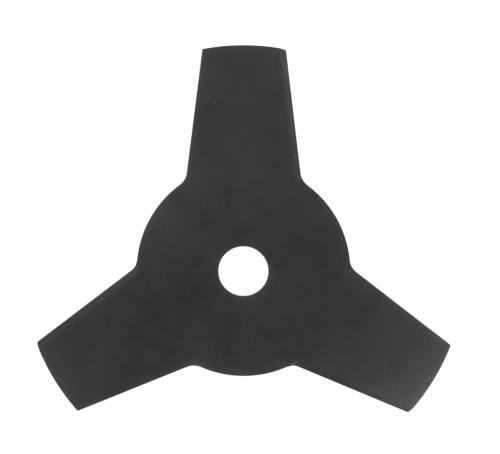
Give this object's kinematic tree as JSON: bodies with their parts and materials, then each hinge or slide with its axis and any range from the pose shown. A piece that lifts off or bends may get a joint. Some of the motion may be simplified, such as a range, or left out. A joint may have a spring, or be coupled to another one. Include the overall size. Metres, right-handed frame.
{
  "type": "brush cutter blade",
  "caption": "Flat steel brush cutter blade with tapered teeth round a bored hub, each tooth ground to a cutting bevel on both sides, in satin black.",
  "frame": {"origin": "centre of the bore, in the plane of the underside", "axes": "+Z along the bore and out of the upper face, +Y along the middle of one tooth, +X to the right of that tooth"},
  "size_m": [0.2118, 0.1855, 0.0016],
  "materials": {
    "black_steel": "satin"
  },
  "bodies": {
    "root": {"blade": "black_steel"}
  },
  "joints": []
}
